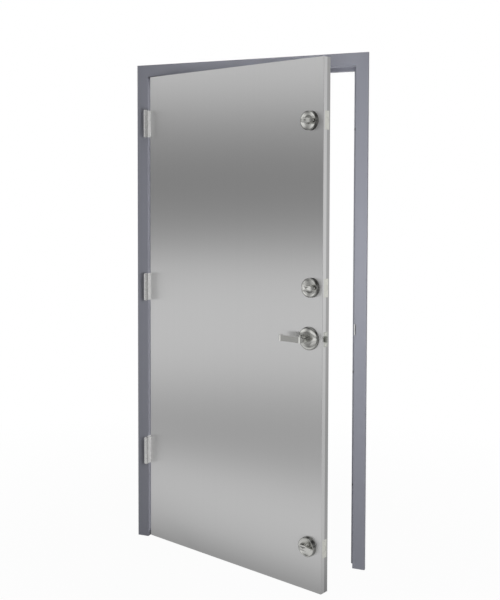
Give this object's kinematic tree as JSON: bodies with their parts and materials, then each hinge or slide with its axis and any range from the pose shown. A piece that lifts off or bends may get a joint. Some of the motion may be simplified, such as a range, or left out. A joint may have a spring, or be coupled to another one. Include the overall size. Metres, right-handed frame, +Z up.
{
  "type": "hollow metal door with frame",
  "caption": "Flush stainless hollow metal door leaf, hinged in a pressed steel frame, with a lever latch and thumbturn deadbolts, shown ajar towards the viewer.",
  "frame": {"origin": "On the floor, at the centre of the four floor bolts: mid width and mid depth of the frame.", "axes": "+Z up, +X from the hinge jamb to the strike jamb, -Y towards the pull side, into which the leaf opens."},
  "size_m": [1.016, 0.4698, 2.0828],
  "materials": {
    "frame_paint": "satin blue-grey paint",
    "leaf_stainless": "satin stainless, vertical grain",
    "inner_steel": "galvanised mill finish",
    "hinge_steel": "satin",
    "bolt_steel": "satin",
    "lock_nickel": "satin nickel",
    "screw_steel": "satin",
    "silencer_rubber": "grey rubber"
  },
  "bodies": {
    "frame": {"hinge_jamb": "frame_paint", "strike_jamb": "frame_paint", "frame_head": "frame_paint", "floor_anchors": "inner_steel", "jamb_hinge_plates": "inner_steel", "hinge_frame_leaf_top": "hinge_steel", "hinge_frame_leaf_middle": "hinge_steel", "hinge_frame_leaf_bottom": "hinge_steel", "hinge_pin_top": "hinge_steel", "hinge_pin_middle": "hinge_steel", "hinge_pin_bottom": "hinge_steel", "strike_latch": "bolt_steel", "strike_bolt_top": "bolt_steel", "strike_bolt_middle": "bolt_steel", "strike_bolt_bottom": "bolt_steel", "strike_boxes": "inner_steel", "silencers": "silencer_rubber", "frame_screws": "screw_steel"},
    "leaf": {"pull_skin": "leaf_stainless", "push_skin": "leaf_stainless", "top_channel": "inner_steel", "bottom_channel": "inner_steel", "core_stiffeners": "inner_steel", "door_hinge_plates": "inner_steel", "hinge_door_leaf_top": "hinge_steel", "hinge_door_leaf_middle": "hinge_steel", "hinge_door_leaf_bottom": "hinge_steel", "lock_plates": "inner_steel", "faceplate_latch": "lock_nickel", "faceplate_bolt_top": "bolt_steel", "faceplate_bolt_middle": "bolt_steel", "faceplate_bolt_bottom": "bolt_steel", "door_screws": "screw_steel", "latch_case": "inner_steel", "bolt_case_top": "inner_steel", "bolt_case_middle": "inner_steel", "bolt_case_bottom": "inner_steel", "lever_rose_pull": "lock_nickel", "lever_rose_push": "lock_nickel", "bolt_rose_top": "lock_nickel", "bolt_rose_middle": "lock_nickel", "bolt_rose_bottom": "lock_nickel", "cylinder_top": "lock_nickel", "cylinder_middle": "lock_nickel", "cylinder_bottom": "lock_nickel", "cylinder_plugs": "lock_nickel"},
    "lever_set": {"lever_pull": "lock_nickel", "lever_push": "lock_nickel", "lever_spindle": "inner_steel"},
    "latch": {"latch_bolt": "lock_nickel"},
    "turn_top": {"thumbturn_top": "lock_nickel", "bolt_crank_top": "inner_steel"},
    "bolt_top": {"deadbolt_top": "bolt_steel"},
    "turn_middle": {"thumbturn_middle": "lock_nickel", "bolt_crank_middle": "inner_steel"},
    "bolt_middle": {"deadbolt_middle": "bolt_steel"},
    "turn_bottom": {"thumbturn_bottom": "lock_nickel", "bolt_crank_bottom": "inner_steel"},
    "bolt_bottom": {"deadbolt_bottom": "bolt_steel"}
  },
  "joints": [
    {"name": "leaf_swing", "type": "hinge", "parent": "frame", "child": "leaf", "pos_m": [-0.4556, -0.08572, 1], "axis": [0, 0, -1], "range_deg": [-19.9, 150.1]},
    {"name": "lever_turn", "type": "hinge", "parent": "leaf", "child": "lever_set", "pos_m": [0.3592, -0.33003, 0.976], "axis": [-0.3404, -0.9403, 0], "range_deg": [0, 45], "stiffness_Nm_per_rad": 1.2, "springref_deg": -40.11},
    {"name": "latch_slide", "type": "slide", "parent": "leaf", "child": "latch", "axis": [-0.9403, 0.3404, 0], "range_m": [0, 0.0128]},
    {"name": "thumbturn_top", "type": "hinge", "parent": "leaf", "child": "turn_top", "pos_m": [0.3592, -0.33003, 1.795], "axis": [0.3404, 0.9403, 0], "range_deg": [0, 90]},
    {"name": "bolt_top_slide", "type": "slide", "parent": "leaf", "child": "bolt_top", "axis": [0.9403, -0.3404, 0], "range_m": [0, 0.0255]},
    {"name": "thumbturn_middle", "type": "hinge", "parent": "leaf", "child": "turn_middle", "pos_m": [0.36766, -0.33309, 1.169], "axis": [0.3404, 0.9403, 0], "range_deg": [0, 90]},
    {"name": "bolt_middle_slide", "type": "slide", "parent": "leaf", "child": "bolt_middle", "axis": [0.9403, -0.3404, 0], "range_m": [0, 0.0255]},
    {"name": "thumbturn_bottom", "type": "hinge", "parent": "leaf", "child": "turn_bottom", "pos_m": [0.3592, -0.33003, 0.179], "axis": [0.3404, 0.9403, 0], "range_deg": [0, 90]},
    {"name": "bolt_bottom_slide", "type": "slide", "parent": "leaf", "child": "bolt_bottom", "axis": [0.9403, -0.3404, 0], "range_m": [0, 0.0255]}
  ],
  "couplings": [
    {"joint": "latch_slide", "follows": "lever_turn", "m_per_rad": 0.01617},
    {"joint": "bolt_top_slide", "follows": "thumbturn_top", "m_per_rad": 0.01617},
    {"joint": "bolt_middle_slide", "follows": "thumbturn_middle", "m_per_rad": 0.01617},
    {"joint": "bolt_bottom_slide", "follows": "thumbturn_bottom", "m_per_rad": 0.01617}
  ]
}
